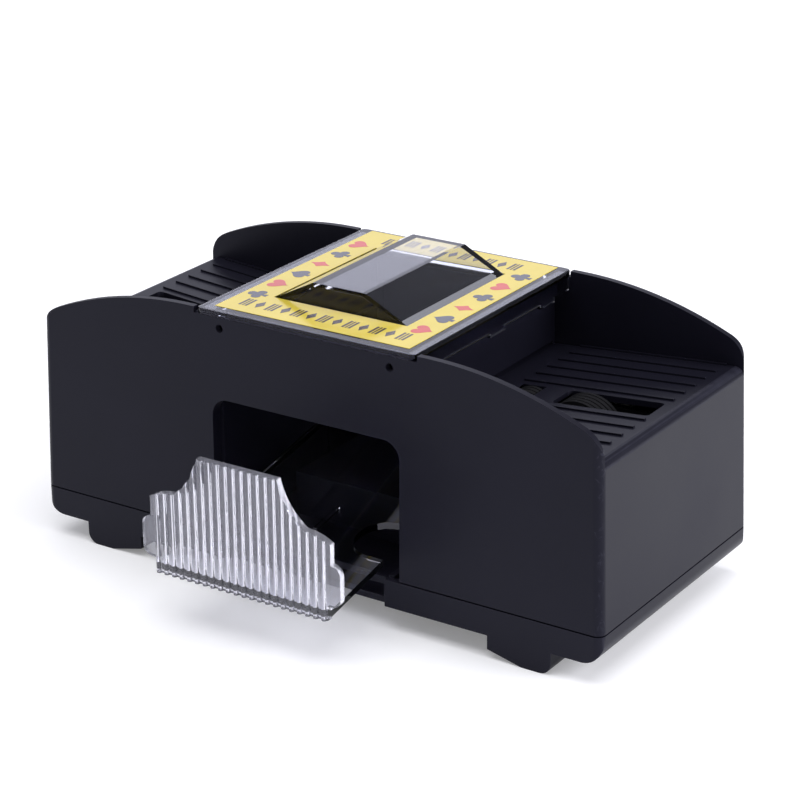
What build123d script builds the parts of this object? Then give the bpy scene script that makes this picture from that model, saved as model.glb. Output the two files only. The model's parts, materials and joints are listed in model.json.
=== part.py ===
from build123d import *
from math import acos, atan, cos, degrees, pi, radians, sin, sqrt, tan
import os

# Automatic card shuffler, millimetres. X runs along the body, the drawer pulls out towards -Y,
# Z is up, and the origin is the middle of the footprint on the table.

# Outer shell
body_length = 218.0        # at the seam
body_depth = 98.0          # at the seam
underside_z = 7.7          # bottom of the base between its feet
seam_z = 17.25             # top of the base lip
seam_gap = 0.5
wall_top_z = 94.7
end_draft = 0.033          # run per unit height
side_draft = 0.0168
wall = 2.3
plan_corner = 3.0
base_end_radius = 7.0
rim_gap = 0.3              # between the base's locating rim and the housing
rim_width = 1.2
rim_height = 3.0

# Card well and its dividers
well_half = 34.8
divider = 2.0
card_gap = 1.3
divider_top_z = 90.5
divider_outer_x = well_half + divider

# Clear cover
cover_overhang = 5.6       # past the dividers
cover_half = divider_outer_x + cover_overhang
cover_thickness = 2.0
cover_fit = 0.3
cover_corner = 3.0
cover_ridge = 1.2
skirt = 1.6
skirt_bottom_z = 88.3
skirt_tab_bottom_z = 86.9
skirt_tab_width = 9.0
skirt_gap = 0.4            # between the skirt's ends and the walls
snap_x = well_half - 2.2
snap_z = 89.0
snap_gap = 0.3
snap_hole_radius = 1.4
snap_leg_width = 3.6
snap_leg_bottom_z = 86.6
snap_leg_thickness = 1.2
hood_half = 25.5
hood_top_half = 10.3
hood_front_y = -27.0
hood_back_y = 31.4
hood_top_z = 102.5
hood_wall = 1.5

# Side walls: level in the middle, then one long arc down to a rounded end
flat_top_margin = 3.6      # level stretch past the cover
flat_top_half = cover_half + flat_top_margin
arch_end_z = 74.0          # centre of the rounded end
arch_end_radius = 10.0

# Card trays
tray_edge_inset = 5.1
tray_edge_x = body_length / 2 - tray_edge_inset
tray_edge_z = 73.5
tray_slope = 0.08
tray_thickness = 2.0
tray_edge_round = 3.4
rib_pitch = 7.23
rib_first = 9.5
rib_count = 6
rib_width = 1.2
rib_height = 0.6
rib_inner_x = cover_half + 4.6
rib_outer_x = tray_edge_x - 2.9

# Rollers in the right-hand tray
exit_radius = 8.0
exit_proud = 0.4
exit_tyre = 2.2
exit_offset = 16.7         # from the divider's outer face
exit_x = divider_outer_x + exit_offset
feed_radius = 12.0
feed_proud = 0.7
feed_tyre = 2.5
tyre_gap = 1.0             # between the two tyres
feed_x = exit_x + exit_radius + tyre_gap + feed_radius
roller_width = 9.0
roller_relief = 0.7
roller_side_gap = 1.5
tyre_groove = 0.5
tyre_groove_depth = 0.4
tyre_groove_pitch = 2.0
tyre_groove_count = 4

# Slots over the rollers
exit_slot_half = 2.95
feed_slot_reach = 8.8      # inwards from the feed shaft
feed_slot_margin = 3.9     # short of the tray's edge
slot_half_width = 6.0
slot_corner = 1.5

# Front opening
opening_margin = 1.4       # wider than the well
opening_half = well_half + opening_margin
opening_top_z = 64.8
opening_corner = 6.0
lip_notch_half = opening_half - 5.8
lip_notch_depth = 2.3

# Feet
foot_outer_x = body_length / 2 - 17.5
foot_flat_inner_x = foot_outer_x - 10.5
foot_inner_x = foot_outer_x - 22.9
foot_depth = 14.0
foot_inner_z = 3.0
foot_outer_radius = 4.0

# Printed sheet stuck on the cover
sheet_side_margin = 5.2
sheet_front_margin = 4.1
sheet_back_margin = 1.1
sheet_thickness = 0.15
sheet_window_gap = 0.3     # around the hood

# Drawer
drawer_out = 32.6          # how far it stands open at rest
plate_gap = 0.25
plate_thickness = 2.2
plate_bottom_z = 18.1
floor_side_gap = 1.6       # between the floor and the dividers
plate_side_gap = 0.2
ear_overlap = 1.9          # past the opening on each side
plate_low_half = well_half - floor_side_gap
plate_half = well_half - plate_side_gap
ear_half = opening_half + ear_overlap
ear_bottom_z = 23.1
ear_top_z = 37.0
ear_corner = 3.3
shoulder_z = 44.0
shoulder_bow = 0.6
grip_foot_x = 25.3
grip_foot_z = 46.6
grip_bow = 1.75
grip_half = 15.3
grip_top_z = 61.0
plate_rib_pitch = 3.04
plate_rib_count = 22
plate_rib_radius = 0.95
floor_lift = 0.1           # above the plate's lower edge
floor_slope = 0.198
floor_thickness = 2.3
floor_back_gap = 4.7       # short of the back wall when closed
floor_back_y = body_depth / 2 - wall - floor_back_gap
notch_radius = 9.3
notch_y = -11.6
notch_centre_x = plate_low_half - 6.3
runner_width = 2.0
runner_front_y = 3.0
runner_gap = 0.15
rail_top_z = 18.0
card_rib_x = 3.9
card_rib_width = 1.4
card_rib_height = 1.0
card_rib_front_y = notch_y - 4.5
card_rib_back_y = notch_y + 8.5

# Battery bay
cell_radius = 7.1
cell_length = 50.0
cell_nub = 1.0
cell_nub_radius = 2.6
cell_count = 4
cell_gap = 0.3
cell_spacing = 2 * cell_radius + cell_gap
cell_floor_gap = 0.2       # above the door
cell_roof_gap = 0.3
contact_thickness = 0.4
contact_half = 5.5
cell_spring_length = 3.2
cell_spring_radius = 3.6
cell_spring_wire = 0.35
cell_spring_turns = 2.5
bay_wall = 1.3
bay_house_gap = 0.4        # behind the bay
bay_back_y = body_depth / 2 - wall - bay_house_gap - bay_wall
bay_front_y = bay_back_y - cell_nub - cell_length - cell_spring_length - 2 * contact_thickness
bay_clearance = 0.25
door_thickness = 1.6
door_gap = 0.25
door_grip_radius = 5.0
door_grip_inset = 8.0
door_groove = 1.1
door_groove_depth = 0.5
door_groove_pitch = 2.4
door_groove_half = 9.0
door_groove_count = 5
bay_runner_gap = 0.4

# Shafts, rollers and gears, right-hand side
module = 0.6
gear_backlash = 0.14
gear_addendum = 0.85       # in modules
gear_dedendum = 1.15
gear_relief = 0.6          # between a gear and the tray over it
centre_extra = 0.08
shaft_radius = 1.5
shaft_overhang = 3.0
hub_collar = 1.6           # around the shaft
hub_collar_reach = 3.0
feed_teeth = 24
exit_teeth = 14
idler_teeth = 20
compound_small_teeth = 12
compound_big_teeth = 36
pinion_teeth = 10
compound_angle = -75.0
motor_angle = -90.0
gear_face = 3.0
gear_layer_gap = 0.8       # between the two layers of gears
running_clearance = 0.05
pin_radius = 1.25
pin_head = 0.7
pin_head_rim = 1.0
pin_boss_rim = 1.3
end_play = 0.3
bush_wall = 1.5
bush_radius = shaft_radius + bush_wall
bush_flange_rim = 1.0
bush_flange = 1.0

# Roller bracket
bracket_half_gap = 13.0
bracket_plate = 2.0
bracket_reach_in = 9.5     # from the exit shaft
bracket_reach_out = 17.5   # from the feed shaft
bracket_inner_x = exit_x - bracket_reach_in
bracket_outer_x = feed_x + bracket_reach_out
bracket_bottom_z = 12.0
bracket_tray_gap = 1.4
bracket_foot_y = 27.0
bracket_hole_inset = 4.5
bracket_hole_x = (bracket_inner_x + bracket_hole_inset, bracket_outer_x - bracket_hole_inset)
bracket_hole_y = 22.5
near_gear_y = bracket_half_gap + bracket_plate + bush_flange + 1.0
far_gear_y = near_gear_y + gear_face + gear_layer_gap

# Motor and the two pads under it
motor_radius = 10.0
motor_flat_half = 7.5
motor_length = 25.0
motor_cap = 3.5
motor_boss_radius = 3.0
motor_boss = 1.6
motor_shaft_radius = 1.0
motor_shaft_inset = 0.5
motor_seat_gap = 0.02
cap_step = 0.4             # the end cap is this much smaller than the can
tag_x = 7.0
tag_width = 1.8
tag_thickness = 0.6
tag_height = 2.4
pad_half = 6.0
pad_width = 3.0
pad_front_y = (-9.0, 6.0)

# Push button and switch on the back wall
button_x = 62.0
button_z = 46.0
button_radius = 6.0
button_gap = 0.3
button_proud = 2.6
button_travel = 2.0
button_flange_radius = 7.6
button_flange = 1.2
button_stem_radius = 2.0
button_spring_radius = 3.4
button_spring_wire = 0.35
button_spring_turns = 4
button_edge = 1.0
switch_y = 31.0
switch_depth = 6.0
switch_half_width = 8.0
switch_height = 10.0
switch_rib = 1.6
switch_shelf_gap = 0.2
switch_shelf_lip = 0.5
tab_pitch = 5.0
tab_thickness = 0.8
tab_width = 3.2
tab_length = 4.0
plunger_radius = 1.2
plunger_rest = 1.2
plunger_depth = 2.5        # how far it reaches into the switch

# Screws
post_x = body_length / 2 - 12.0
post_y = body_depth / 2 - 10.5
post_radius = 3.6
screw_radius = 1.25
screw_head_radius = 2.9
screw_head = 2.0
screw_clear_radius = 1.6
base_screw_length = 16.0
screw_head_gap = 0.3
screw_slot = 0.7
screw_slot_half = 2.0
screw_slot_depth = 1.0
screw_tip_gap = 4.0
counterbore = 3.0


def tray_z(x):
    return tray_edge_z + tray_slope * (x - tray_edge_x)


def side_y(z):
    return body_depth / 2 - side_draft * (z - seam_z)


def end_x(z):
    return body_length / 2 - end_draft * (z - seam_z)


def block(x0, x1, y0, y1, z0, z1):
    return Pos((x0 + x1) / 2, (y0 + y1) / 2, (z0 + z1) / 2) * Box(x1 - x0, y1 - y0, z1 - z0)


def rod(radius, x, z, y0, y1):
    return Pos(x, (y0 + y1) / 2, z) * Rot(90, 0, 0) * Cylinder(radius, y1 - y0)


def post(radius, x, y, z0, z1):
    return Pos(x, y, (z0 + z1) / 2) * Cylinder(radius, z1 - z0)


def side_prism(outline, y0, y1):
    """Extrude an outline drawn in X and Z from y0 to y1."""
    plane = Plane(origin=(0, y1, 0), x_dir=(1, 0, 0), z_dir=(0, -1, 0))
    return extrude(plane * make_face(outline), amount=y1 - y0)


def end_prism(outline, x0, x1):
    """Extrude an outline drawn in Y and Z from x0 to x1."""
    plane = Plane(origin=(x0, 0, 0), x_dir=(0, 1, 0), z_dir=(1, 0, 0))
    return extrude(plane * make_face(outline), amount=x1 - x0)


def drafted_block(end_inset, side_inset, z0, z1, corner):
    """Block that narrows upwards with the drafts of the shell."""
    faces = []
    for z in (z0, z1):
        length = 2 * (end_x(z) - end_inset)
        depth = 2 * (side_y(z) - side_inset)
        faces.append((Pos(0, 0, z) * RectangleRounded(length, depth, corner)).face())
    return loft(faces)


def both_ends(part):
    return part + mirror(part, about=Plane.YZ)


def wall_outline():
    """Outline of the shell seen from the front: flat top, long falling arc, rounded ends."""
    reach = body_length
    corner_z = arch_end_z
    drop_x = end_x(corner_z)
    corner_x = drop_x - arch_end_radius
    run, fall = corner_x - flat_top_half, wall_top_z - corner_z
    arch_radius = (run ** 2 + fall ** 2 - arch_end_radius ** 2) / 2 / (fall - arch_end_radius)
    arc_centre_z = wall_top_z - arch_radius
    ring = arch_radius - arch_end_radius
    lean = (corner_x - flat_top_half) / ring
    meet_x = flat_top_half + arch_radius * lean
    meet_z = arc_centre_z + sqrt(arch_radius ** 2 - (meet_x - flat_top_half) ** 2)
    turn = acos(lean) / 2
    half_lean = sin(acos((corner_z - arc_centre_z) / ring) / 2)
    arch_mid_x = flat_top_half + arch_radius * half_lean
    arch_mid = (arch_mid_x, arc_centre_z + arch_radius * sqrt(1 - half_lean ** 2))
    corner_mid = (corner_x + arch_end_radius * cos(turn), corner_z + arch_end_radius * sin(turn))
    low_z = corner_z - (reach - drop_x) / end_draft
    return [
        Line((0, wall_top_z), (flat_top_half, wall_top_z)),
        ThreePointArc((flat_top_half, wall_top_z), arch_mid, (meet_x, meet_z)),
        ThreePointArc((meet_x, meet_z), corner_mid, (drop_x, corner_z)),
        Line((drop_x, corner_z), (reach, low_z)),
        Line((reach, low_z), (0, low_z)),
        Line((0, low_z), (0, wall_top_z)),
    ]


def wall_prism():
    half = side_prism(wall_outline(), -body_depth, body_depth)
    return both_ends(half)


def tray_top_outline():
    """Open space over the right-hand tray, down to the tray and its rounded outer edge."""
    low_z = tray_edge_z - tray_edge_round
    edge_x = end_x(low_z)
    inner_x = divider_outer_x
    mid = (tray_edge_x + 0.72 * (edge_x - tray_edge_x), tray_edge_z - 0.26 * tray_edge_round)
    far = body_length
    return [
        Line((inner_x, tray_z(inner_x)), (tray_edge_x, tray_edge_z)),
        ThreePointArc((tray_edge_x, tray_edge_z), mid, (edge_x, low_z)),
        Line((edge_x, low_z), (far, low_z)),
        Line((far, low_z), (far, far)),
        Line((far, far), (inner_x, far)),
        Line((inner_x, far), (inner_x, tray_z(inner_x))),
    ]


def under_tray_outline():
    inner_x = divider_outer_x
    return Polyline(
        (inner_x, 0),
        (inner_x, tray_z(inner_x) - tray_thickness),
        (tray_edge_x, tray_edge_z - tray_thickness),
        (body_length, tray_edge_z - tray_thickness - (body_length - tray_edge_x)),
        (body_length, 0),
        close=True,
    )


def tray_rib(y):
    outline = Polyline(
        (rib_inner_x, tray_z(rib_inner_x) - tray_thickness / 2),
        (rib_outer_x, tray_z(rib_outer_x) - tray_thickness / 2),
        (rib_outer_x, tray_z(rib_outer_x) + rib_height),
        (rib_inner_x, tray_z(rib_inner_x) + rib_height),
        close=True,
    )
    return side_prism(outline, y - rib_width / 2, y + rib_width / 2)


def tray_slot(x0, x1):
    """Slot through the right-hand tray."""
    slot = RectangleRounded(x1 - x0, 2 * slot_half_width, slot_corner)
    low_z = tray_z(x0) - 3 * tray_thickness
    return extrude(Pos((x0 + x1) / 2, 0, low_z) * slot, amount=5 * tray_thickness)


def feed_z():
    return tray_z(feed_x) + feed_proud - feed_radius


def exit_z():
    return tray_z(exit_x) + exit_proud - exit_radius


def opening_tool():
    """Rounded cut through the front wall for the drawer and the cards."""
    height = 2 * (opening_top_z - seam_z)
    outline = RectangleRounded(2 * opening_half, height, opening_corner)
    plane = Plane(origin=(0, -body_depth / 2 + 2 * wall, 0), x_dir=(1, 0, 0), z_dir=(0, -1, 0))
    return extrude(plane * Pos(0, opening_top_z - height / 2) * outline, amount=3 * wall)


def housing_blank():
    outer = drafted_block(0, 0, seam_z + seam_gap, wall_top_z + 0.01, plan_corner) & wall_prism()
    inside = drafted_block(wall, wall, seam_z, wall_top_z + 5, plan_corner - 1)
    under = inside & both_ends(side_prism(under_tray_outline(), -body_depth, body_depth))
    between = drafted_block(-2 * wall, wall, seam_z, wall_top_z + 5, plan_corner - 1)
    over = between & both_ends(side_prism(tray_top_outline(), -body_depth, body_depth))
    well = inside & block(-well_half, well_half, -body_depth, body_depth, 0, wall_top_z + 5)
    return outer - under - over - well


def card_gap_tool():
    """Slit at the foot of the right-hand divider that lets one card through."""
    low = tray_z(well_half)
    reach = side_y(low) - wall - 1
    return block(well_half - 1, well_half + divider + 1, -reach, reach, low, low + card_gap)


def snap_hole_tool():
    return rod(snap_hole_radius, snap_x, snap_z, -body_depth, body_depth)


def screw_posts():
    result = None
    for y in (-post_y, post_y):
        pillar = post(post_radius, post_x, y, seam_z + seam_gap, tray_z(post_x) - tray_thickness / 2)
        pillar -= post(screw_radius, post_x, y, seam_z, seam_z + base_screw_length)
        result = pillar if result is None else result + pillar
    return result


def switch_holder():
    """Two ribs on the back wall that hold the switch between them."""
    inner = switch_half_width + button_gap
    back = side_y(button_z) - wall / 2
    low = button_z - switch_height
    high = button_z + switch_height
    result = block(button_x - inner - switch_rib, button_x - inner, switch_y - 1, back, low, high)
    result += block(button_x + inner, button_x + inner + switch_rib, switch_y - 1, back, low, high)
    shelf_z = button_z - switch_height / 2 - switch_shelf_gap
    reach = switch_y + switch_depth + switch_shelf_lip
    shelf = block(button_x - inner, button_x + inner, switch_y - 1, reach, low, shelf_z)
    return result + shelf


def housing_shell():
    shell = housing_blank()
    shell -= both_ends(card_gap_tool())
    reach = side_y(divider_top_z) - wall
    shell -= block(-body_length, body_length, -reach, reach, divider_top_z, wall_top_z + 10)
    for i in range(rib_count):
        for side in (-1, 1):
            y = side * (rib_first + i * rib_pitch)
            shell += both_ends(tray_rib(y))
    shell += both_ends(screw_posts())
    cuts = tray_slot(feed_x - feed_slot_reach, tray_edge_x - feed_slot_margin)
    cuts += tray_slot(exit_x - exit_slot_half, exit_x + exit_slot_half)
    half_width = roller_width / 2 + roller_side_gap
    cuts += rod(feed_radius + roller_relief, feed_x, feed_z(), -half_width, half_width)
    cuts += rod(exit_radius + roller_relief, exit_x, exit_z(), -half_width, half_width)
    gear_room = module * (feed_teeth / 2 + gear_addendum) + gear_relief
    cuts += rod(gear_room, feed_x, feed_z(), near_gear_y - gear_relief, near_gear_y + gear_face + gear_relief)
    cuts += snap_hole_tool()
    shell -= both_ends(cuts)
    shell -= opening_tool()
    cover_reach = cover_half + cover_fit
    seat_z = wall_top_z - cover_thickness
    shell -= block(-cover_reach, cover_reach, -body_depth, body_depth, seat_z, wall_top_z + 10)
    shell += switch_holder()
    shell -= rod(button_radius + button_gap, button_x, button_z, side_y(button_z) - 2 * wall, body_depth)
    return shell


def foot_outline():
    flat_outer_x = foot_outer_x - foot_outer_radius
    bend = foot_outer_radius * (1 - cos(pi / 4))
    return [
        Line((foot_inner_x, underside_z + 1), (foot_inner_x, foot_inner_z)),
        Line((foot_inner_x, foot_inner_z), (foot_flat_inner_x, 0)),
        Line((foot_flat_inner_x, 0), (flat_outer_x, 0)),
        ThreePointArc((flat_outer_x, 0), (foot_outer_x - bend, bend), (foot_outer_x, foot_outer_radius)),
        Line((foot_outer_x, foot_outer_radius), (foot_outer_x, underside_z + 1)),
        Line((foot_outer_x, underside_z + 1), (foot_inner_x, underside_z + 1)),
    ]


def bay_half():
    return (cell_count - 1) * cell_spacing / 2 + cell_radius + bay_clearance


def cell_z():
    return underside_z + door_thickness + cell_floor_gap + cell_radius


def bay_roof_z():
    return cell_z() + cell_radius + cell_roof_gap


def base_blank():
    """Shallow tray with rolled-up ends."""
    outline = RectangleRounded(body_length, body_depth, plan_corner)
    plan = extrude(Pos(0, 0, underside_z) * outline, amount=seam_z - underside_z)
    height = 3 * (seam_z - underside_z)
    side = RectangleRounded(body_length, height, base_end_radius)
    plane = Plane(origin=(0, body_depth / 2, 0), x_dir=(1, 0, 0), z_dir=(0, -1, 0))
    rolled = extrude(plane * Pos(0, underside_z + height / 2) * side, amount=body_depth)
    inner_outline = RectangleRounded(body_length - 2 * wall, body_depth - 2 * wall, plan_corner - 1)
    inner = extrude(Pos(0, 0, underside_z + wall) * inner_outline, amount=seam_z)
    inner_height = height - 2 * wall
    inner_side = RectangleRounded(body_length - 2 * wall, inner_height, base_end_radius - wall)
    inner_plane = Plane(origin=(0, body_depth / 2 - wall, 0), x_dir=(1, 0, 0), z_dir=(0, -1, 0))
    inner_rolled = extrude(inner_plane * Pos(0, underside_z + wall + inner_height / 2) * inner_side,
                           amount=body_depth - 2 * wall)
    return (plan & rolled) - (inner & inner_rolled)


def locating_rib():
    """Low rim inside the seam that centres the housing on the base."""
    low, high = seam_z - rim_height, seam_z + rim_height
    inset = 2 * (wall + rim_gap)
    outer = RectangleRounded(body_length - inset, body_depth - inset, plan_corner - 1)
    inset += 2 * rim_width
    inner = RectangleRounded(body_length - inset, body_depth - inset, plan_corner - 2)
    hollow = extrude(Pos(0, 0, low - 1) * inner, amount=high - low + 2)
    rim = extrude(Pos(0, 0, low) * outer, amount=high - low)
    rim -= block(-opening_half - 1, opening_half + 1, -body_depth, 0, seam_z - 1, high + 1)
    root = RectangleRounded(body_length - wall, body_depth - wall, plan_corner - 1)
    rim += extrude(Pos(0, 0, low) * root, amount=rim_height - seam_gap)
    divider_room = block(well_half - rim_gap, divider_outer_x + rim_gap, -body_depth, body_depth,
                         seam_z, high + 1)
    return rim - hollow - both_ends(divider_room)


def base_tray():
    base = base_blank() + locating_rib()
    for y in (-body_depth / 2, body_depth / 2 - foot_depth):
        base += both_ends(side_prism(foot_outline(), y, y + foot_depth))
    half = bay_half()
    front, back = bay_front_y, bay_back_y
    roof = bay_roof_z()
    outer = half + bay_wall
    base += block(-outer, outer, front - bay_wall, back + bay_wall, underside_z, roof + bay_wall)
    base -= block(-half, half, front, back, underside_z - 1, roof)
    rail = block(rail_inner_x(), rail_inner_x() + runner_width, -body_depth / 2 + wall, back + bay_wall,
                 underside_z + wall / 2, rail_top_z)
    base += both_ends(rail)
    base -= block(-lip_notch_half, lip_notch_half, -body_depth, -body_depth / 2 + lip_notch_depth,
                  underside_z - 1, seam_z + 10)
    for y in (-post_y, post_y):
        base += both_ends(post(post_radius, post_x, y, underside_z + wall / 2, seam_z))
        base -= both_ends(post(screw_clear_radius, post_x, y, 0, seam_z + 1))
        base -= both_ends(post(screw_head_radius + screw_head_gap, post_x, y, 0, underside_z + counterbore))
    for x in bracket_hole_x:
        for y in (-bracket_hole_y, bracket_hole_y):
            base += both_ends(post(post_radius, x, y, underside_z + wall / 2, bracket_bottom_z))
            base -= both_ends(post(screw_radius, x, y, underside_z + wall / 2, bracket_bottom_z + 1))
    return base


def rail_inner_x():
    return bay_half() + bay_wall + bay_runner_gap


def battery_door():
    half = bay_half() - door_gap
    front = bay_front_y + door_gap
    back = bay_back_y - door_gap
    door = block(-half, half, front, back, underside_z, underside_z + door_thickness)
    for i in range(door_groove_count):
        y = front + door_grip_inset + i * door_groove_pitch
        door -= block(-door_groove_half, door_groove_half, y, y + door_groove,
                      underside_z - 1, underside_z + door_groove_depth)
    return door - post(door_grip_radius, 0, back - door_grip_inset, underside_z - 1,
                       underside_z + door_thickness / 2)


def hood_outline(half, top_half, low_z, top_z):
    right = [(half, low_z), (half, wall_top_z), (top_half, top_z)]
    left = [(-x, z) for x, z in reversed(right)]
    return Polyline(*right, *left, close=True)


def snap_leg():
    """Leg whose face lies behind the round hole in the wall."""
    y = side_y(snap_z) - wall - snap_gap
    return block(snap_x - snap_leg_width / 2, snap_x + snap_leg_width / 2, y - snap_leg_thickness, y,
                 snap_leg_bottom_z, wall_top_z - cover_thickness / 2)


def top_cover():
    depth = side_y(wall_top_z)
    low_z = wall_top_z - cover_thickness
    plate = extrude(Pos(0, 0, low_z) * RectangleRounded(2 * cover_half, 2 * depth, cover_corner),
                    amount=cover_thickness)
    reach = side_y(skirt_bottom_z) - wall - skirt_gap
    side = block(cover_half - skirt, cover_half, -reach, reach, skirt_bottom_z, low_z + cover_thickness / 2)
    for y in (0, hood_back_y):
        side += block(cover_half - skirt, cover_half, y - skirt_tab_width / 2, y + skirt_tab_width / 2,
                      skirt_tab_bottom_z, low_z)
    height = 4 * cover_thickness
    rounded = RectangleRounded(2 * cover_half, height, cover_ridge)
    plane = Plane(origin=(0, body_depth, wall_top_z - height / 2), x_dir=(1, 0, 0), z_dir=(0, -1, 0))
    plate &= extrude(plane * rounded, amount=2 * body_depth)
    cover = plate + both_ends(side)
    leg = snap_leg()
    cover += both_ends(leg + mirror(leg, about=Plane.XZ))
    hood = side_prism(hood_outline(hood_half, hood_top_half, low_z, hood_top_z), hood_front_y, hood_back_y)
    slant = atan((hood_half - hood_top_half) / (hood_top_z - wall_top_z))
    side_inset = hood_wall / cos(slant)
    top_inset = hood_wall / cos(slant) - hood_wall * tan(slant)
    hollow = side_prism(
        hood_outline(hood_half - side_inset, hood_top_half + top_inset - side_inset + hood_wall * 0.4,
                     low_z - 1, hood_top_z - hood_wall),
        hood_front_y + hood_wall, hood_back_y - hood_wall)
    return cover + hood - hollow


def cover_sheet():
    """Printed sheet with a window around the hood."""
    low, high = wall_top_z, wall_top_z + sheet_thickness
    half = cover_half - sheet_side_margin
    depth = side_y(wall_top_z)
    sheet = block(-half, half, sheet_front_margin - depth, depth - sheet_back_margin, low, high)
    gap = sheet_window_gap
    return sheet - block(-hood_half - gap, hood_half + gap, hood_front_y - gap, hood_back_y + gap,
                         low - 1, high + 1)


def plate_outline():
    """Right half of the drawer's front, with its ear and the hollow beside the grip."""
    low, high = ear_bottom_z + ear_corner, ear_top_z - ear_corner
    near = ear_half - ear_corner
    bend = ear_corner * (1 - cos(pi / 4))
    return [
        Line((0, plate_bottom_z), (plate_low_half, plate_bottom_z)),
        Line((plate_low_half, plate_bottom_z), (plate_low_half, ear_bottom_z)),
        Line((plate_low_half, ear_bottom_z), (near, ear_bottom_z)),
        ThreePointArc((near, ear_bottom_z), (ear_half - bend, ear_bottom_z + bend), (ear_half, low)),
        Line((ear_half, low), (ear_half, high)),
        ThreePointArc((ear_half, high), (ear_half - bend, ear_top_z - bend), (near, ear_top_z)),
        Line((near, ear_top_z), (plate_half, ear_top_z)),
        Line((plate_half, ear_top_z), (plate_half, shoulder_z)),
        SagittaArc((plate_half, shoulder_z), (grip_foot_x, grip_foot_z), -shoulder_bow),
        SagittaArc((grip_foot_x, grip_foot_z), (grip_half, grip_top_z), grip_bow),
        Line((grip_half, grip_top_z), (0, grip_top_z)),
        Line((0, grip_top_z), (0, plate_bottom_z)),
    ]


def plate_front_y():
    return -side_y(plate_bottom_z) - plate_gap - plate_thickness


def floor_z(y):
    return plate_bottom_z + floor_lift + floor_slope * (y - plate_front_y())


def drawer_floor():
    front = plate_front_y()
    outline = Polyline(
        (front, floor_z(front)),
        (floor_back_y, floor_z(floor_back_y)),
        (floor_back_y, floor_z(floor_back_y) + floor_thickness),
        (front, floor_z(front) + floor_thickness),
        close=True,
    )
    slab = end_prism(outline, -plate_low_half, plate_low_half)
    notch = post(notch_radius, notch_centre_x, notch_y, 0, 60)
    notch += block(notch_centre_x, ear_half, notch_y - notch_radius, notch_y + notch_radius, 0, 60)
    return slab - both_ends(notch)


def drawer_runner():
    """Web under the floor that slides on the rail beside the battery bay."""
    low = rail_top_z + runner_gap
    outline = Polyline(
        (runner_front_y, low),
        (floor_back_y, low),
        (floor_back_y, floor_z(floor_back_y) + floor_thickness / 2),
        (runner_front_y, floor_z(runner_front_y) + floor_thickness / 2),
        close=True,
    )
    return end_prism(outline, rail_inner_x(), rail_inner_x() + runner_width)


def card_drawer():
    front = plate_front_y()
    plate = both_ends(side_prism(plate_outline(), front, front + plate_thickness))
    shadow = both_ends(side_prism(plate_outline(), front - plate_rib_radius, front + plate_rib_radius))
    ribs = None
    for i in range(plate_rib_count):
        x = (i - (plate_rib_count - 1) / 2) * plate_rib_pitch
        rib = post(plate_rib_radius, x, front, plate_bottom_z, grip_top_z)
        ribs = rib if ribs is None else ribs + rib
    drawer = plate + (ribs & shadow) + drawer_floor() + both_ends(drawer_runner())
    low = [(y, floor_z(y) + floor_thickness / 2) for y in (card_rib_front_y, card_rib_back_y)]
    high = [(y, z + floor_thickness / 2 + card_rib_height) for y, z in reversed(low)]
    bar = end_prism(Polyline(*low, *high, close=True),
                    card_rib_x - card_rib_width / 2, card_rib_x + card_rib_width / 2)
    return Pos(0, -drawer_out, 0) * (drawer + bar)


def cell_x(i):
    return (i - (cell_count - 1) / 2) * cell_spacing


def battery_cells():
    cells = []
    for i in range(cell_count):
        nub_end = bay_back_y - contact_thickness
        flip = i % 2
        body = rod(cell_radius, cell_x(i), cell_z(), nub_end - cell_nub - cell_length, nub_end - cell_nub)
        body += rod(cell_nub_radius, cell_x(i), cell_z(), nub_end - cell_nub, nub_end)
        if flip:
            middle = (bay_front_y + bay_back_y) / 2
            body = mirror(body, about=Plane(origin=(0, middle, 0), z_dir=(0, 1, 0)))
        cells.append(body)
    return Compound(children=cells)


def battery_plates():
    plates = []
    for i in range(cell_count):
        for y in (bay_front_y, bay_back_y - contact_thickness):
            plates.append(block(cell_x(i) - contact_half, cell_x(i) + contact_half,
                                y, y + contact_thickness,
                                cell_z() - contact_half, cell_z() + contact_half))
    return Compound(children=plates)


def coil(radius, wire, length, turns):
    """Round-wire spring standing along Z from 0 to length."""
    path = Helix(pitch=(length - 2 * wire) / turns, height=length - 2 * wire, radius=radius)
    start = Plane(origin=path @ 0, z_dir=path % 0)
    return Pos(0, 0, wire) * sweep(start * Circle(wire), path=path, is_frenet=True)


def battery_springs():
    springs = []
    laid = Rot(-90, 0, 0) * coil(cell_spring_radius, cell_spring_wire,
                                 cell_spring_length - 2 * running_clearance, cell_spring_turns)
    for i in range(cell_count):
        if i % 2:
            y = bay_back_y - contact_thickness - cell_spring_length + running_clearance
        else:
            y = bay_front_y + contact_thickness + running_clearance
        springs.append(Pos(cell_x(i), y, cell_z()) * laid)
    return Compound(children=springs)


def plunger_end_y():
    return switch_y + switch_depth + plunger_rest + button_travel


def button_cap():
    outer_y = side_y(button_z)
    flange_back = outer_y - wall - button_gap
    cap = rod(button_radius, button_x, button_z, flange_back, outer_y + button_proud)
    cap = fillet(cap.edges().sort_by(Axis.Y)[-1:], button_edge)
    cap += rod(button_flange_radius, button_x, button_z, flange_back - button_flange, flange_back)
    cap += rod(button_stem_radius, button_x, button_z, plunger_end_y(),
               flange_back - button_flange)
    return cap


def button_spring():
    back = side_y(button_z) - wall - button_gap - button_flange
    front = switch_y + switch_depth
    length = back - front - 2 * running_clearance
    spring = Rot(-90, 0, 0) * coil(button_spring_radius, button_spring_wire, length, button_spring_turns)
    return Pos(button_x, front + running_clearance, button_z) * spring


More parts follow.
